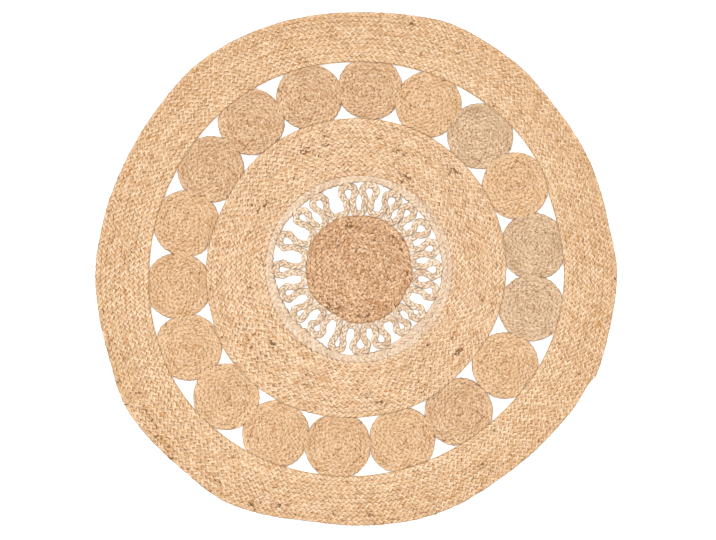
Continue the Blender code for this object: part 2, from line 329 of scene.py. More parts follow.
    # wider or narrower about the braid's middle line, then a little lumpy
    place = add_node(tree, "GeometryNodeInputPosition").outputs[0]
    side = attribute("side", "FLOAT_VECTOR")
    off = vectors(tree, "SUBTRACT", place, attribute("middle", "FLOAT_VECTOR"))
    reach = vectors(tree, "DOT_PRODUCT", off, side)
    wider = times(reach, maths(tree, "SUBTRACT", attribute("wide"), 1.0))
    spread = vectors(tree, "SCALE", side, wider)
    mesh = geometry("SetPosition", {"Geometry": mesh, "Offset": spread})
    place = add_node(tree, "GeometryNodeInputPosition").outputs[0]
    lumps = {"Vector": place, "Scale": 1.0 / LUMP_LENGTH, "Detail": 2.0}
    lumps = add_node(tree, "ShaderNodeTexNoise", lumps).outputs["Color"]
    lumps = vectors(tree, "SUBTRACT", lumps, (0.5, 0.5, 0.5))
    lumps = vectors(tree, "SCALE", lumps, given["Unevenness"])
    mesh = geometry("SetPosition", {"Geometry": mesh, "Offset": lumps})
    mesh = geometry("SetShadeSmooth", {"Geometry": mesh})
    mesh = geometry("SetMaterial", {"Geometry": mesh, "Material": given["Finish"]})
    mesh = geometry("RealizeInstances", {"Geometry": mesh})
    add_node(tree, "NodeGroupOutput", {0: mesh})
    return tree


plait = plait_tree()
plait_sockets = plait.interface.items_tree
PLAIT_INPUTS = {item.name: item.identifier for item in plait_sockets if item.in_out == "INPUT"}
ROW_MARGIN = 0.04  # left free on each side of a row of the strands' map
STRAND_JUMP = 8.0 * MM  # a longer step is one from the end of a strand to the next strand's start


def lay_out_strands(mesh):
    """A map for the strands' surface: lengths of strand side by side in rows, about square."""
    corner_points = np.empty(len(mesh.loops), int)
    mesh.loops.foreach_get("vertex_index", corner_points)
    starts = np.empty(len(mesh.polygons), int)
    mesh.polygons.foreach_get("loop_start", starts)
    totals = np.empty(len(mesh.polygons), int)
    mesh.polygons.foreach_get("loop_total", totals)
    rings = len(mesh.vertices) // SPOKES
    ring = corner_points // SPOKES
    spoke = corner_points % SPOKES
    faces = np.repeat(np.arange(len(totals)), totals)
    first_ring = np.minimum.reduceat(ring, starts)[faces]
    wraps = (np.maximum.reduceat(spoke, starts) - np.minimum.reduceat(spoke, starts))[faces] > 1
    spoke = np.where(wraps & (spoke == 0) & (totals[faces] == 4), SPOKES, spoke)
    places = np.empty(len(mesh.vertices) * 3)
    mesh.vertices.foreach_get("co", places)
    places = places.reshape(-1, SPOKES, 3)
    steps = np.linalg.norm(np.diff(places.mean(axis=1), axis=0), axis=1)
    length = steps.clip(max=STRAND_JUMP).sum()
    girth = np.linalg.norm(places[0] - np.roll(places[0], 1, axis=0), axis=1).sum()
    rows = max(1, round(math.sqrt(length / girth)))
    per_row = -(-rings // rows)
    row = first_ring // per_row
    across = (ring - row * per_row) / per_row
    up = (row + ROW_MARGIN + (1.0 - 2.0 * ROW_MARGIN) * spoke / SPOKES) / rows
    layer = mesh.uv_layers.new(name="OFBake")  # the strands' map
    layer.data.foreach_set("uv", np.column_stack([across, up]).ravel())


def plaited(name, points, traits, shape, finish):
    """A plain mesh of three strands plaited along a line of points; traits vary along the line."""
    line = bpy.data.meshes.new(name)
    count = len(points)
    line.from_pydata(
        np.column_stack([points, np.full(count, RUG_TOP / 2.0)]).tolist(),
        [(place, place + 1) for place in range(count - 1)],
        [],
    )
    for trait, values in traits.items():
        data = line.attributes.new(trait, "FLOAT", "POINT").data
        data.foreach_set("value", values.astype(np.float32))
    piece = placed(name, line)
    modifier = piece.modifiers.new("plait", "NODES")
    modifier.node_group = plait
    for title, value in {**shape, "Finish": finish}.items():
        modifier[PLAIT_INPUTS[title]] = value
    graph = bpy.context.evaluated_depsgraph_get()
    mesh = bpy.data.meshes.new_from_object(
        piece.evaluated_get(graph), preserve_all_data_layers=True, depsgraph=graph
    )
    piece.modifiers.clear()
    piece.data = mesh
    for spare in ("side", "middle", "turn", "wide", "thick", "run", "strand"):
        if spare in mesh.attributes:
            mesh.attributes.remove(mesh.attributes[spare])
    lay_out_strands(mesh)
    return piece


# The grain of jute: how many of each kind to a metre along a strand and across it, and its detail.
GRAIN = {
    "batches": (9.0, 60.0, 3.0),
    "yarns": (48.0, 420.0, 2.0),
    "fibres": (75.0, 1500.0, 3.0),
    "fuzz": (160.0, 4200.0, 1.0),
    "grey patches": (30.0, 160.0, 2.0),
    "broad streaks": (13.0, 50.0, 2.0),
    "narrow streaks": (60.0, 330.0, 2.0),
    "flecks": (75.0, 230.0, 1.0),
}
# How strongly each shows in the jute's shade or warmth, beside what differs from stitch to stitch.
STRENGTH = {
    "batches": 1.2,
    "stitches": 0.35,
    "yarns": 4.4,
    "fibres": 1.4,
    "warm stitches": 0.16,
    "broad streaks": 0.8,
    "narrow streaks": 0.9,
}
# Where in its grain a patch starts, how sharp its edge is, and how much it covers at most.
GREY_PATCHES = (0.0, 4.0, 0.4)
WARM_STREAKS = (0.2, 7.0, 0.85)
DARK_FLECKS = (0.24, 14.0, 0.9)
# How much painted shade a strand gets by its height off the rug's middle, and by how far it faces up or
# down.
LOW_DOWN = {"From Min": 1.2 * MM, "From Max": 3.2 * MM, "To Min": 0.25, "To Max": 0.0}
ON_THE_FLANK = {"From Min": 0.3, "From Max": 0.85, "To Min": 1.4, "To Max": 0.0}
STITCH_SHADE_RANGE = (1.4, 0.25)  # how much more painted shade one stitch may get than another, and the least it gets
HOLLOW_SHADE = 0.5  # the painted shade's colour, as a share of the streaks' colour
ROUGHNESS = (0.3, 0.78)  # how much it varies from fibre to fibre, and about what


def jute_group():
    """Jute as it shows on a strand: long fibres, paler and deeper batches, dark flecks, and painted
    shade low down between the stitches and on the strands' flanks.
    """
    group = bpy.data.node_groups.new("jute", "ShaderNodeTree")
    for name in ("Pale", "Deep", "Grey", "Streak", "Fleck"):
        group.interface.new_socket(name, in_out="INPUT", socket_type="NodeSocketColor")
    for name in ("Contrast", "Streaks", "Flecks", "Shadow"):
        group.interface.new_socket(name, in_out="INPUT", socket_type="NodeSocketFloat")
    group.interface.new_socket("Colour", in_out="OUTPUT", socket_type="NodeSocketColor")
    group.interface.new_socket("Roughness", in_out="OUTPUT", socket_type="NodeSocketFloat")
    group.interface.new_socket("Height", in_out="OUTPUT", socket_type="NodeSocketFloat")
    given = add_node(group, "NodeGroupInput").outputs

    def attribute(name, output):
        return add_node(group, "ShaderNodeAttribute", attribute_name=name).outputs[output]

    def grain(kind):
        """One kind of grain as noise about 0, drawn out along the strand."""
        along, across, detail = GRAIN[kind]
        drawn = vectors(group, "MULTIPLY", attribute("fibre", "Vector"), (along, across, across))
        noise = add_node(group, "ShaderNodeTexNoise", {"Vector": drawn, "Scale": 1.0, "Detail": detail})
        return maths(group, "SUBTRACT", noise.outputs[0], 0.5)

    def mixed(share, first, second):
        node = add_node(group, "ShaderNodeMix", {"Factor": share}, data_type="RGBA")
        for place, colour in ((6, first), (7, second)):
            group.links.new(colour, node.inputs[place])
        return node.outputs[2]

    def clamped(value):
        return add_node(group, "ShaderNodeClamp", {"Value": value}).outputs[0]

    def plus(first, second):
        return maths(group, "ADD", first, second)

    def times(first, second):
        return maths(group, "MULTIPLY", first, second)

    def added(total, kind, noise):
        """A total and one more kind of unevenness, as strong as it shows."""
        return plus(total, times(noise, STRENGTH[kind]))

    def patches(noise, start, sharpness, most):
        """A mask of the places where the noise is past a start."""
        return times(clamped(times(maths(group, "SUBTRACT", noise, start), sharpness)), most)

    own = add_node(group, "ShaderNodeSeparateXYZ", {0: attribute("stitch", "Vector")}).outputs
    yarns = grain("yarns")
    fibres = grain("fibres")
    shade = times(grain("batches"), STRENGTH["batches"])
    shade = added(shade, "stitches", maths(group, "SUBTRACT", own["X"], 0.5))
    shade = added(shade, "yarns", yarns)
    shade = added(shade, "fibres", fibres)
    shade = plus(times(shade, given["Contrast"]), attribute("tone", "Fac"))
    colour = mixed(clamped(plus(shade, 0.5)), given["Deep"], given["Pale"])

    # greyer patches, warm brown streaks, then short dark flecks
    colour = mixed(patches(grain("grey patches"), *GREY_PATCHES), colour, given["Grey"])
    warm = added(given["Streaks"], "warm stitches", maths(group, "SUBTRACT", own["Y"], 0.5))
    warm = added(warm, "broad streaks", grain("broad streaks"))
    warm = added(warm, "narrow streaks", grain("narrow streaks"))
    colour = mixed(patches(warm, *WARM_STREAKS), colour, given["Streak"])
    speck = plus(plus(grain("flecks"), attribute("dark", "Fac")), given["Flecks"])
    colour = mixed(patches(speck, *DARK_FLECKS), colour, given["Fleck"])

    # painted shade: darker low down between the stitches and on the strands' flanks, more on some
    # stitches than on others, tinted with the streaks' colour
    height = add_node(group, "ShaderNodeTexCoord").outputs["Object"]
    height = add_node(group, "ShaderNodeSeparateXYZ", {0: height}).outputs["Z"]
    height = maths(group, "ABSOLUTE", maths(group, "SUBTRACT", height, RUG_TOP / 2.0))
    low = add_node(group, "ShaderNodeMapRange", {"Value": height, **LOW_DOWN}).outputs[0]
    crown = maths(group, "ABSOLUTE", attribute("crown", "Fac"))
    flank = add_node(group, "ShaderNodeMapRange", {"Value": crown, **ON_THE_FLANK}).outputs[0]
    # how much painted shade each stitch gets, at random
    deep = times(maths(group, "MULTIPLY_ADD", own["Z"], *STITCH_SHADE_RANGE), given["Shadow"])
    shaded = clamped(times(plus(low, flank), deep))
    shade_colour = vectors(group, "SCALE", given["Streak"], HOLLOW_SHADE)
    results = {
        "Colour": mixed(shaded, colour, shade_colour),
        "Roughness": maths(group, "MULTIPLY_ADD", fibres, *ROUGHNESS),
        "Height": plus(plus(fibres, yarns), grain("fuzz")),
    }
    add_node(group, "NodeGroupOutput", results)
    return group


jute = jute_group()
GREY_JUTE = (0.82, 0.67, 0.52)  # where it has weathered
OLD_JUTE = (0.15, 0.06, 0.02)  # in the flecks


def new_finish(name):
    """A new material, and its shader."""
    finish = bpy.data.materials.new(name)
    finish.use_nodes = True
    return finish, finish.node_tree.nodes["Principled BSDF"]


def braided_jute(name, pale, deep, streak, mix):
    """A matt jute finish with a faint sheen; the mix says how varied it is."""
    finish, shader = new_finish(name)
    tree = finish.node_tree
    effect = add_node(tree, "ShaderNodeGroup", node_tree=jute)
    colours = {"Pale": pale, "Deep": deep, "Streak": streak}
    colours |= {"Grey": GREY_JUTE, "Fleck": OLD_JUTE}
    for title, value in colours.items():
        effect.inputs[title].default_value = (*value, 1.0)
    for title, value in mix.items():
        effect.inputs[title].default_value = value
    bump = {"Height": effect.outputs["Height"], "Distance": 0.5 * MM, "Strength": 0.6}
    bump = add_node(tree, "ShaderNodeBump", bump)
    tree.links.new(effect.outputs["Colour"], shader.inputs["Base Color"])
    tree.links.new(effect.outputs["Roughness"], shader.inputs["Roughness"])
    tree.links.new(bump.outputs["Normal"], shader.inputs["Normal"])
    shader.inputs["Specular IOR Level"].default_value = 0.25
    shader.inputs["Sheen Weight"].default_value = 0.12
    return finish


SAME_POINT = 0.01 * MM


def core_piece(name, mesh, finish):
    """A core's mesh as a piece half-way up the rug, its seams closed and its faces outwards."""
    work = bmesh.new()
    work.from_mesh(mesh)
    bmesh.ops.remove_doubles(work, verts=work.verts, dist=SAME_POINT)
    bmesh.ops.translate(work, verts=work.verts, vec=(0.0, 0.0, RUG_TOP / 2.0))
    bmesh.ops.recalc_face_normals(work, faces=work.faces)
    work.to_mesh(mesh)
    work.free()
    mesh.name = name
    mesh.materials.clear()
    mesh.materials.append(finish)
    return placed(name, mesh)


CORE_HALF = 0.7 * MM  # half the height of a core


def sewn_core(name, rims, finish):
    """The pressed, sewn edges between a piece's rounds, as one thin sheet inside its rims.

    A rim is a ring of points, the outer one first and any inner one after it."""
    outline = bpy.data.curves.new(name, "CURVE")
    outline.dimensions = "2D"
    outline.fill_mode = "BOTH"
    outline.extrude = CORE_HALF
    for rim in rims:
        spline = outline.splines.new("POLY")
        spline.points.add(len(rim) - 1)
        spots = np.column_stack([rim, np.zeros(len(rim)), np.ones(len(rim))])
        spline.points.foreach_set("co", spots.ravel())
        spline.use_cyclic_u = True
    shape = placed(name, outline)
    graph = bpy.context.evaluated_depsgraph_get()
    mesh = bpy.data.meshes.new_from_object(shape.evaluated_get(graph), depsgraph=graph)
    bpy.data.objects.remove(shape)
    bpy.data.curves.remove(outline)
    return core_piece(name, mesh, finish)


CRUSHED_GRAIN = 3.0 * MM
CRUSHED_SHADE = 0.6  # how dark its darkest fibres are beside its palest


def shaded_pressed_jute(name, colour):
    """The jute between two rounds, coloured darker than the braid partly as painted shade: crushed
    fibres in every direction.
    """
    finish, shader = new_finish(name)
    tree = finish.node_tree
    place = add_node(tree, "ShaderNodeTexCoord").outputs["Object"]
    crushed = {"Vector": place, "Scale": 1.0 / CRUSHED_GRAIN, "Detail": 4.0}
    crushed = add_node(tree, "ShaderNodeTexNoise", crushed).outputs[0]
    shade = add_node(tree, "ShaderNodeMix", {"Factor": crushed}, data_type="RGBA")
    shade.inputs[6].default_value = (*(CRUSHED_SHADE * part for part in colour), 1.0)
    shade.inputs[7].default_value = (*colour, 1.0)
    bump = add_node(tree, "ShaderNodeBump", {"Height": crushed, "Distance": 0.6 * MM, "Strength": 0.7})
    tree.links.new(shade.outputs[2], shader.inputs["Base Color"])
    tree.links.new(bump.outputs["Normal"], shader.inputs["Normal"])
    shader.inputs["Roughness"].default_value = 0.92
    return finish


def put_together(node, plaits, core, area):
    """The braid and its core stand for one CAD node: they are attached to the rug's root body and the
    node is hidden.
    """
    for piece in (*plaits, core):
        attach(piece, "root")
        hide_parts(node)


def slab_area(node):
    """The area of a slab's top face."""
    work = bmesh.new()
    work.from_mesh(frame["nodes"][node].data)
    work.normal_update()
    area = sum(face.calc_area() for face in work.faces if face.normal.z > 0.5)
    work.free()
    return area


CENTRE_MARKS = ((188, 108), (222, 105), (233, 110), (245, 104), (273, 108), (100, 106), (40, 103))
BROWN_COLOURS = (0.91, 0.61, 0.38), (0.50, 0.265, 0.12), (0.46, 0.19, 0.06)
BROWN_MIX = {"Contrast": 0.65, "Streaks": 0.08, "Flecks": 0.05, "Shadow": 0.95}
brown_braid = braided_jute("brown_braid", *BROWN_COLOURS, BROWN_MIX)
# the core is darker than the braid, partly as painted shade between the rounds
brown_core = shaded_pressed_jute("brown_core", (0.62, 0.37, 0.18))
centre_rim = rim_of("centre_disc", RING_CENTRE, nearest=90.0 * MM, farthest=200.0 * MM)
wound, middle, wide = coil(CENTRE_ROUNDS, CENTRE_TAPER, DISC_STEP)
angle = CENTRE_START - wound
reach = centre_rim(angle) + CENTRE_PRESSED
centre_line = around(RING_CENTRE, angle, reach * middle / CENTRE_ROUNDS)
run = run_along(centre_line)
outward = middle / CENTRE_ROUNDS
tone = shades(run, slowness=5.0, seed=11, uneven=0.10, first=-0.06, last=-0.14, outward=outward)
flecked = CENTRE_FLECKS * outward**2
dark = np.maximum(flecked, marks(centre_line, CENTRE_MARKS, RING_CENTRE))
traits = traits_of(run, wide * reach / CENTRE_ROUNDS, tone, dark)
shape = TIGHT_PLAIT | {"Pitch": CENTRE_STITCH, "Seed": 2}
centre_plait = plaited("centre_disc_braid", centre_line, traits, shape, brown_braid)
ring_angles = np.arange(0.0, 360.0, RIM_STEP)
rim = around(RING_CENTRE, ring_angles, centre_rim(ring_angles) + SEWN_ON)
centre_core = sewn_core("centre_disc_core", [rim], brown_core)
centre_across = 2.0 * (float(centre_rim(ring_angles).mean()) + PROUD)
flat = (centre_across, centre_across)
area = slab_area("centre_disc")
put_together("centre_disc", [centre_plait], centre_core, area)


# ---- Loop braid --------------------------------------------------------------------------------
# One pale braid laid in and out round the centre disc as twenty open loops. Its feet are sewn
# to the disc and its heads to the pale round, and its two ends meet in one foot.
LOOP_ROWS = (
    # the angle and width of a loop's hole, the radius that its head reaches, and the radius
    # where the space to the next loop begins, in degrees and mm
    (-0.4, 14.5, 195, 134),
    (16.1, 11.5, 195, 138),
    (33.0, 13.0, 196, 139),
    (49.3, 10.0, 195, 139),
    (64.5, 12.5, 200, 139),
    (82.3, 13.0, 205, 136),
    (98.1, 12.5, 202, 139),
    (121.0, 11.5, 201, 138),
    (137.5, 10.5, 201, 139),
    (158.8, 13.5, 204, 136),
    (180.2, 9.0, 201, 136),
    (198.5, 9.0, 195, 137),
    (216.6, 7.5, 194, 133),
    (234.8, 11.5, 191, 133),
    (253.9, 7.0, 203, 139),
    (271.0, 14.0, 201, 139),
    (287.7, 11.5, 194, 139),
    (306.7, 9.5, 188, 137),
    (323.0, 8.5, 188, 134),
    (342.8, 11.0, 194, 139),
)
LEG_WIDTH = 15.0 * MM  # the pale braid where it runs straight
HEAD_WIDTH = 16.6 * MM  # and where it is bent round
LEG_CLEARANCE = 0.2 * MM  # from a loop's middle line to each leg
HEAD_CLEARANCE = 1.8 * MM  # and from the edge of its hole to the head
HOLE_LENGTH = 27.0 * MM
LOWEST_NECK = 154.0 * MM  # the least radius at which the two legs part
CORNER = math.sqrt(0.5)  # half-way round the bend of a head
FOOT_DEPTH = 13.0 * MM
FOOT_CORNER = 0.84  # how near a foot's corner is to its leg, as a share of the way from its middle
LOOP_SPREAD = 1.04  # how much wider the plaited strands lie than their slab
LOOP_CORE_HALF = 0.4 * MM
LOOP_CORE_REACH = 6.4 * MM  # to each side of the braid's middle line
CURVE_STEPS = 8  # from one turning point of the braid to the next
LOOSE_STITCH = 14.0 * MM
LOOSE_PLAIT = TIGHT_PLAIT | {
    "Swing": 3.0 * MM,
    "Snap": 0.2,
    "Lift": 1.6 * MM,
    "Strand width": 5.2 * MM,
    "Strand height": 4.5 * MM,
    "Unevenness": 1.0 * MM,
}


def beside(angle, aside, radius):
    """A point aside from the line that leaves the ring's centre at an angle."""
    turn = math.radians(angle)
    return (
        RING_CENTRE[0] + radius * math.cos(turn) - aside * math.sin(turn),
        RING_CENTRE[1] + radius * math.sin(turn) + aside * math.cos(turn),
    )


def foot_points(index, angle, leg):
    """A foot's middle, its corner and its leg, towards the loop whose line is at an angle."""
    index %= len(LOOP_ROWS)
    this = LOOP_ROWS[index]
    following = LOOP_ROWS[(index + 1) % len(LOOP_ROWS)]
    gap_angle = (this[0] + following[0] + (360.0 if following[0] < this[0] else 0.0)) / 2.0
    low = this[3] * MM - LEG_WIDTH / 2.0
    high = low + FOOT_DEPTH
    leg_end = np.subtract(beside(angle, leg, high), RING_CENTRE)
    leg_angle = math.degrees(math.atan2(leg_end[1], leg_end[0]))
    turned = (leg_angle - gap_angle + 180.0) % 360.0 - 180.0
    corner_radius = high - FOOT_DEPTH * FOOT_CORNER
    return [
        (*beside(gap_angle, 0.0, low), LEG_WIDTH),
        (*beside(gap_angle + turned * FOOT_CORNER, 0.0, corner_radius), LEG_WIDTH),
        (*beside(leg_angle, 0.0, math.hypot(*leg_end)), LEG_WIDTH),
    ]


route = []
for index, (angle, hole, head, _foot) in enumerate(LOOP_ROWS):
    leg = LEG_WIDTH / 2.0 + LEG_CLEARANCE
    side = hole * MM / 2.0 + HEAD_CLEARANCE + HEAD_WIDTH / 2.0
    top = head * MM - HEAD_WIDTH / 2.0
    shoulder = top - side
    neck = max(LOWEST_NECK, top - HEAD_WIDTH / 2.0 - HOLE_LENGTH)
    half_loop = (
        (leg, neck, LEG_WIDTH),
        (side, shoulder, HEAD_WIDTH),
        (side * CORNER, shoulder + side * CORNER, HEAD_WIDTH),
    )
    route += foot_points(index - 1, angle, -leg)
    route += [(*beside(angle, -aside, radius), width) for aside, radius, width in half_loop]
    route.append((*beside(angle, 0.0, top), HEAD_WIDTH))
    route += [(*beside(angle, aside, radius), width) for aside, radius, width in reversed(half_loop)]
    route += reversed(foot_points(index, angle, leg)[1:])

# one smooth curve through the turning points and back to the first
route = np.array(route)
shares = (np.arange(CURVE_STEPS) / CURVE_STEPS)[:, None]
before, start, end, after = (np.roll(route, turn, axis=0)[:, None, :] for turn in (1, 0, -1, -2))
bend = shares * (3.0 * (start - end) + after - before)
bend = shares * (2.0 * before - 5.0 * start + 4.0 * end - after + bend)
loop_line = (start + 0.5 * shares * (end - before + bend)).reshape(-1, 3)
loop_line = np.vstack([loop_line, loop_line[:1]])
run = run_along(loop_line[:, :2])
stitches = STRANDS * round(run[-1] / LOOSE_STITCH / STRANDS)  # so that its ends match
PALE_COLOURS = (0.87, 0.72, 0.56), (0.63, 0.43, 0.27), (0.58, 0.34, 0.16)
PALE_MIX = {"Contrast": 1.0, "Streaks": 0.0, "Flecks": 0.02, "Shadow": 0.55}
pale_braid = braided_jute("pale_braid", *PALE_COLOURS, PALE_MIX)
# the core is darker than the braid, partly as painted shade between the rounds
pale_core = shaded_pressed_jute("pale_core", (0.66, 0.47, 0.30))
tone = shades(run, slowness=3.0, seed=21, uneven=0.08)
traits = traits_of(run, LOOP_SPREAD * loop_line[:, 2], tone)
shape = LOOSE_PLAIT | {"Pitch": run[-1] / stitches, "Seed": 3}
loop_plait = plaited("loop_braid_plait", loop_line[:, :2], traits, shape, pale_braid)

# its core is a thin ribbon that follows the braid round and closes on itself
middles = loop_line[:-1, :2]
along = np.roll(middles, -1, axis=0) - np.roll(middles, 1, axis=0)
aside = np.column_stack([-along[:, 1], along[:, 0]]) / np.hypot(*along.T)[:, None]
corners = [
    np.column_stack([middles + edge * aside * LOOP_CORE_REACH, np.full(len(middles), up)])
    for up, edges in ((-LOOP_CORE_HALF, (-1.0, 1.0)), (LOOP_CORE_HALF, (1.0, -1.0)))
    for edge in edges
]
count = len(corners) * len(middles)
faces = []
for start in range(0, count, len(corners)):
    following = (start + len(corners)) % count
    for corner in range(len(corners)):
        beyond = (corner + 1) % len(corners)
        faces.append((start + corner, start + beyond, following + beyond, following + corner))
ribbon = bpy.data.meshes.new("loop_braid_core")
ribbon.from_pydata(np.stack(corners, axis=1).reshape(-1, 3).tolist(), [], faces)
loop_core = core_piece("loop_braid_core", ribbon, pale_core)
put_together("loop_braid", [loop_plait], loop_core, None)


# ---- Pale round --------------------------------------------------------------------------------
# The same pale braid, laid round the loops' heads. Its start and its end lie side by side where
# the loops fall short of the middle ring.
PALE_OUTER = 216.0 * MM
PALE_MIDDLE = 207.0 * MM  # the radius of its middle line
PALE_START = 275.0  # degrees
PALE_LAP = 143.0  # degrees where the start and the end lie side by side
LAP_TAPER = 0.22  # share of them over which each thins out
PALE_STEP = 1.5  # degrees between the points of its line
PALE_STITCH = 13.0 * MM
HEADS_PRESSED = 3.2 * MM  # how far the loops' heads are pressed against it
PALE_CORE_EDGE = 1.5 * MM  # how far its core stays inside its inner edge

pale_rim = rim_of(
    "pale_round", RING_CENTRE, nearest=170.0 * MM, farthest=210.5 * MM, proud=0.0
)


def pale_inner(angle):
    """The inner edge, pressed a little against the loops' heads."""
    return pale_rim(angle) - HEADS_PRESSED


wound = np.arange(0.0, 360.0 + PALE_LAP, PALE_STEP)
angle = PALE_START + wound
lapped = (wound % 360.0) / PALE_LAP
inside = 0.5 * soft_step(lapped / LAP_TAPER) + 0.5 * soft_step((lapped - 1.0 + LAP_TAPER) / LAP_TAPER)
gap = PALE_OUTER - pale_inner(angle)
last_lap = wound >= 360.0
braid = gap * np.where(last_lap, 1.0 - inside, inside)
middle = np.where(last_lap, PALE_OUTER - braid / 2.0, pale_inner(angle) + braid / 2.0)
pale_line = around(RING_CENTRE, angle, middle)
run = run_along(pale_line)
tone = shades(run, slowness=3.0, seed=31, uneven=0.10)
traits = traits_of(run, braid, tone)
shape = TIGHT_PLAIT | {"Pitch": PALE_STITCH, "Strand width": 7.0 * MM, "Seed": 4}
ROUND_COLOURS = (0.83, 0.66, 0.495), (0.60, 0.405, 0.255), (0.58, 0.33, 0.15)
ROUND_MIX = {"Contrast": 0.7, "Streaks": -0.03, "Flecks": 0.0, "Shadow": 0.4}
round_braid = braided_jute("pale_round_braid", *ROUND_COLOURS, ROUND_MIX)
pale_plait = plaited("pale_round_braid", pale_line, traits, shape, round_braid)
rims = [
    around(RING_CENTRE, ring_angles, np.full(len(ring_angles), PALE_OUTER)),
    around(RING_CENTRE, ring_angles, pale_inner(ring_angles) + PALE_CORE_EDGE),
]
pale_round_core = sewn_core("pale_round_core", rims, pale_core)
pale_length = 2.0 * math.pi * PALE_MIDDLE
flat = (slab_area("pale_round") / pale_length, pale_length)
put_together("pale_round", [pale_plait], pale_round_core, None)


# ---- Middle ring -------------------------------------------------------------------------------
# A golden braid streaked with brown, coiled in twelve rounds from the pale round out to the
# small discs and sewn edge to edge.
RING_ROUNDS = 12
RING_TAPER = 40.0  # degrees
RING_START = 245.0  # degrees, on the inner edge
RING_STITCH = 13.3 * MM
RING_GAP = 0.5 * MM  # between the pale round and the first round
RING_PARTS = 2
COIL_STEP = 0.75  # degrees between the points of a wide coil's line
RING_MARKS = (
    (104, 301), (46, 312), (71, 289), (110, 277), (59, 300), (115, 300), (148, 263),
    (158, 310), (188, 262), (207, 290), (222, 266), (64, 240), (320, 300), (279, 318),
)


def plaited_in_parts(name, parts, points, traits, shape, finish):
    """A long coil's strands as a few plain meshes, one following another along the braid."""
    cuts = np.linspace(0, len(points) - 1, parts + 1).astype(int)
    pieces = []
    for part in range(parts):
        stretch = slice(cuts[part], cuts[part + 1] + 1)
        its_traits = {trait: values[stretch] for trait, values in traits.items()}
        pieces.append(plaited(f"{name}_{part + 1}", points[stretch], its_traits, shape, finish))
    return pieces


STREAKED_COLOURS = (0.90, 0.66, 0.44), (0.59, 0.34, 0.16), (0.54, 0.23, 0.06)
STREAKED_MIX = {"Contrast": 0.75, "Streaks": 0.06, "Flecks": 0.06, "Shadow": 0.8}
streaked_braid = braided_jute("streaked_braid", *STREAKED_COLOURS, STREAKED_MIX)
# the core is darker than the braid, partly as painted shade between the rounds
golden_core = shaded_pressed_jute("golden_core", (0.68, 0.43, 0.22))
ring_outer = rim_of("middle_ring", RING_CENTRE, nearest=300.0 * MM, farthest=400.0 * MM)
ring_inner = PALE_OUTER + RING_GAP
wound, middle, wide = coil(RING_ROUNDS, RING_TAPER, COIL_STEP)
angle = RING_START - wound
across = ring_outer(angle) - ring_inner
ring_line = around(RING_CENTRE, angle, ring_inner + across * middle / RING_ROUNDS)
run = run_along(ring_line)
tone = shades(run, slowness=6.0, seed=41, uneven=0.10, first=0.07, last=0.07)
dark = marks(ring_line, RING_MARKS, RING_CENTRE)
traits = traits_of(run, wide * across / RING_ROUNDS, tone, dark)
shape = TIGHT_PLAIT | {"Pitch": RING_STITCH, "Seed": 5}
ring_plaits = plaited_in_parts(
    "middle_ring_braid", RING_PARTS, ring_line, traits, shape, streaked_braid
)
rims = [
    around(RING_CENTRE, ring_angles, ring_outer(ring_angles) + CORE_EDGE),
    around(RING_CENTRE, ring_angles, np.full(len(ring_angles), ring_inner)),
]
ring_core = sewn_core("middle_ring_core", rims, golden_core)
ring_width = float(ring_outer(ring_angles).mean()) + PROUD - ring_inner
flat = (ring_width, slab_area("middle_ring") / ring_width)
put_together("middle_ring", ring_plaits, ring_core, None)


# ---- Small discs -------------------------------------------------------------------------------
# Eighteen small discs of braid, each coiled in seven rounds and squashed a little where it is
# sewn to the bands and to its neighbours. They come from three batches of jute.
DISC_ROUNDS = 7
DISC_STITCH = 11.2 * MM
DISC_FULL = 78.0 * MM - PROUD  # a disc's radius where nothing squashes it
DISC_RIM_STEP = 9.0  # degrees between the points of a disc core's rim
PRESSED_IN = 4.0 * MM  # a disc squashed by this much is pressed right against the next braid
FREE_EDGE = 1.4 * MM  # how much less its core reaches where the disc is free
SHADE_SPREAD = 0.12  # how much paler or deeper a disc may start, and end the other way
DISC_MIX = {"Contrast": 0.6, "Streaks": 0.02, "Flecks": 0.06, "Shadow": 0.7}
GOLD_COLOURS = (0.84, 0.585, 0.36), (0.58, 0.33, 0.15), (0.54, 0.24, 0.07)
BROWN_DISC_COLOURS = (0.82, 0.57, 0.35), (0.51, 0.275, 0.13), (0.46, 0.20, 0.06)
GREY_COLOURS = (0.80, 0.58, 0.38), (0.50, 0.31, 0.17), (0.50, 0.27, 0.12)
BATCHES = {
    "disc_gold": braided_jute("gold_disc_braid", *GOLD_COLOURS, DISC_MIX),
    "disc_brown": braided_jute("brown_disc_braid", *BROWN_DISC_COLOURS, DISC_MIX),
    "disc_grey": braided_jute("grey_disc_braid", *GREY_COLOURS, DISC_MIX),
}
disc_angles = np.arange(0.0, 360.0, DISC_RIM_STEP)
disc_nodes = sorted(node for node in frame["nodes"] if node.startswith("small_disc"))
slots = {part["node"]: part["material_slot"] for part in frame["record"]["subparts"]}
draw = np.random.default_rng(7)
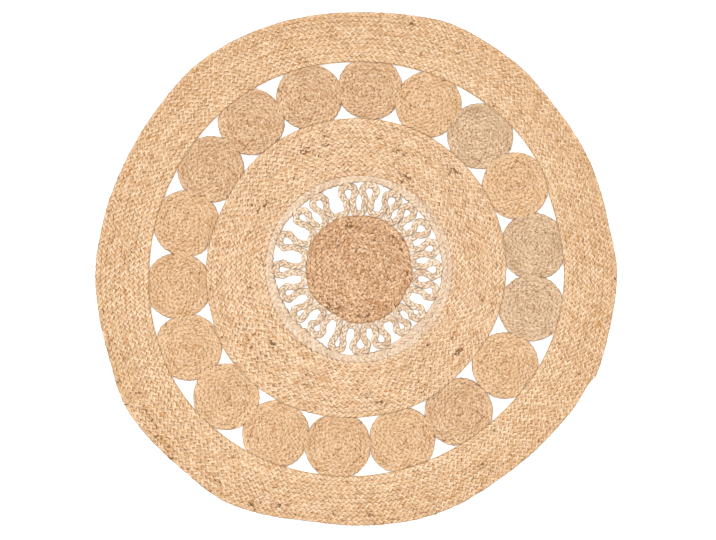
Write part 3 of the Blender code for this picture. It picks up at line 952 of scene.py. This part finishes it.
for number, node in enumerate(disc_nodes, start=1):
    spots = np.array([v.co[:2] for v in frame["nodes"][node].data.vertices])
    centre = tuple((spots.min(axis=0) + spots.max(axis=0)) / 2.0)
    disc_rim = rim_of(node, centre, nearest=0.0, farthest=200.0 * MM)
    wound, middle, wide = coil(DISC_ROUNDS, CENTRE_TAPER, DISC_STEP)
    angle = draw.uniform(0.0, 360.0) - wound
    share = middle / DISC_ROUNDS
    rim = disc_rim(angle)
    pressed = soft_step((DISC_FULL - rim) / PRESSED_IN)
    squash = 1.0 - (rim + PROUD * pressed) / DISC_FULL
    disc_line = around(centre, angle, DISC_FULL * share * (1.0 - share * squash))
    run = run_along(disc_line)
    braid = wide * DISC_FULL / DISC_ROUNDS * (1.0 - 2.0 * share * squash)
    shade = draw.uniform(-SHADE_SPREAD, SHADE_SPREAD)
    seed = 50 + number
    tone = shades(run, slowness=2.0, seed=seed, uneven=0.08, first=shade, last=-shade, outward=share)
    traits = traits_of(run, braid, tone)
    slot = slots[node]
    shape = TIGHT_PLAIT | {"Pitch": DISC_STITCH, "Seed": seed}
    piece = plaited(f"{node}_braid", disc_line, traits, shape, BATCHES[slot])
    rim = disc_rim(disc_angles)
    free = 1.0 - soft_step((DISC_FULL - rim) / PRESSED_IN)
    rim = around(centre, disc_angles, rim + CORE_EDGE - FREE_EDGE * free)
    core = sewn_core(f"{node}_core", [rim], golden_core)
    put_together(node, [piece], core, slab_area(node))


# ---- Outer band --------------------------------------------------------------------------------
# The widest piece: one golden braid of jute, coiled clockwise a little over eleven times and
# sewn edge to edge. Its start is tucked behind a disc, and its end steps the outline.
BAND_CENTRE = (-5.0 * MM, -2.0 * MM)
BAND_START = 27.0  # degrees, on the inner edge
BAND_TURN = 11 * 360.0 + 53.0  # degrees wound from the start to the end
BAND_ROUNDS = 11
START_TAPER = 8.0  # degrees over which the braid starts
END_TAPER = 2.5  # and over which it ends
BAND_MIDDLE = 540.0 * MM  # a radius between the band's two rims
BAND_WANDER = 0.35 * MM  # how far its rounds stray from side to side
BAND_RIM_STEP = 3.0  # degrees between the points of its core's rims
BAND_PARTS = 3
BAND_MARKS = (
    (218, 590), (216, 588), (220, 598), (252, 576), (245, 593), (254, 571), (250, 575),
    (273, 564), (233, 580), (74, 522), (71, 527), (63, 553), (32, 549), (36, 544), (38, 590),
    (151, 542), (148, 588), (6, 563), (11, 559), (77, 583), (336, 569), (303, 536),
)
BAND_FLECKS = 0.03  # how flecked it is all over
RIM_FLECKS = 0.045  # how much more at its outer rim
SIDE_FLECKS = 0.04  # and how much that differs between its darkest side and its palest
DARKEST = 245.0  # degrees, the side with the most dark flecks

band_inner = rim_of(
    "outer_band", BAND_CENTRE, nearest=400.0 * MM, farthest=BAND_MIDDLE, proud=-PROUD
)
band_outer = rim_of("outer_band", BAND_CENTRE, nearest=BAND_MIDDLE, farthest=700.0 * MM)
wound = np.arange(0.0, BAND_TURN, COIL_STEP)
angle = BAND_START - wound

# how many braids lie side by side at each angle, with a thin start or end counted as a part of one
lap = wound % 360.0
to_end = BAND_TURN % 360.0 - lap
rounds_here = BAND_ROUNDS - 1 + soft_step(lap / START_TAPER) + soft_step(to_end / END_TAPER)
braid = (band_outer(angle) - band_inner(angle)) / rounds_here
base = band_inner(angle) - braid * (lap / 360.0 + 1.0 - soft_step(lap / START_TAPER))

# the middle line, which moves to the braid's outer edge at the start and to its inner at the end
taper_in = soft_step(wound / START_TAPER)
taper_out = soft_step((BAND_TURN - wound) / END_TAPER)
band_line = around(BAND_CENTRE, angle, base + braid * (wound / 360.0 + 0.5))
run = run_along(band_line)
radius = base + braid * (wound / 360.0 + 0.5 + (taper_out - taper_in) / 2.0)
band_line = around(BAND_CENTRE, angle, radius + BAND_WANDER * wander(run, seed=3))
GOLDEN_COLOURS = (0.90, 0.655, 0.43), (0.59, 0.34, 0.155), (0.56, 0.24, 0.06)
GOLDEN_MIX = {"Contrast": 0.8, "Streaks": 0.04, "Flecks": 0.0, "Shadow": 0.9}
golden_braid = braided_jute("golden_braid", *GOLDEN_COLOURS, GOLDEN_MIX)
outward = wound / BAND_TURN
tone = shades(run, slowness=6.0, seed=5, uneven=0.07, first=0.13, last=-0.11, outward=outward)
sided = RIM_FLECKS + SIDE_FLECKS * np.cos(np.radians(angle - DARKEST))
dark = np.maximum(BAND_FLECKS + outward**2 * sided, marks(band_line, BAND_MARKS, (0.0, 0.0)))
traits = traits_of(run, braid * taper_in * taper_out, tone, dark)
band_plaits = plaited_in_parts(
    "outer_band_braid", BAND_PARTS, band_line, traits, TIGHT_PLAIT, golden_braid
)
band_angles = np.arange(0.0, 360.0, BAND_RIM_STEP)
rims = [
    around(BAND_CENTRE, band_angles, band_outer(band_angles)),
    around(BAND_CENTRE, band_angles, band_inner(band_angles) - CORE_EDGE),
]
band_core = sewn_core("outer_band_core", rims, golden_core)
band_width = float((band_outer(band_angles) - band_inner(band_angles)).mean()) + 2.0 * PROUD
flat = (band_width, slab_area("outer_band") / band_width)
put_together("outer_band", band_plaits, band_core, None)


# ---- Floor and light ---------------------------------------------------------------------------
# A plain pale floor under the rug, lit softly from above. It glows slightly, so that it is as
# plain and pale in the rug's openings as around the rug.
FLOOR_REACH = 9.0  # metres to each side
FLOOR_GLOW = 0.3
FROM_THE_UPPER_LEFT = (1.8, -1.8, -2.2)  # the way the light falls

floor_mesh = bpy.data.meshes.new("floor")
quarters = ((-1, -1), (1, -1), (1, 1), (-1, 1))
floor_corners = [(x * FLOOR_REACH, y * FLOOR_REACH, 0.0) for x, y in quarters]
floor_mesh.from_pydata(floor_corners, [], [(0, 1, 2, 3)])
floor = placed("floor", floor_mesh)
pale_floor, floor_shader = new_finish("pale_floor")
floor_shader.inputs["Base Color"].default_value = (0.95, 0.95, 0.95, 1.0)
floor_shader.inputs["Emission Color"].default_value = (1.0, 1.0, 1.0, 1.0)
floor_shader.inputs["Emission Strength"].default_value = FLOOR_GLOW
floor_shader.inputs["Roughness"].default_value = 0.9
floor_mesh.materials.append(pale_floor)
studio = bpy.data.worlds.new("studio")
studio.use_nodes = True
studio.node_tree.nodes["Background"].inputs["Color"].default_value = (1.0, 1.0, 1.0, 1.0)
studio.node_tree.nodes["Background"].inputs["Strength"].default_value = 1.15
bpy.context.scene.world = studio
lamp = bpy.data.lights.new("soft_key", "SUN")
lamp.angle = math.radians(35.0)
lamp.energy = 1.1
key = placed("soft_key", lamp)
key.rotation_euler = Vector(FROM_THE_UPPER_LEFT).to_track_quat("-Z", "Y").to_euler()
bpy.context.scene.view_settings.view_transform = "Standard"
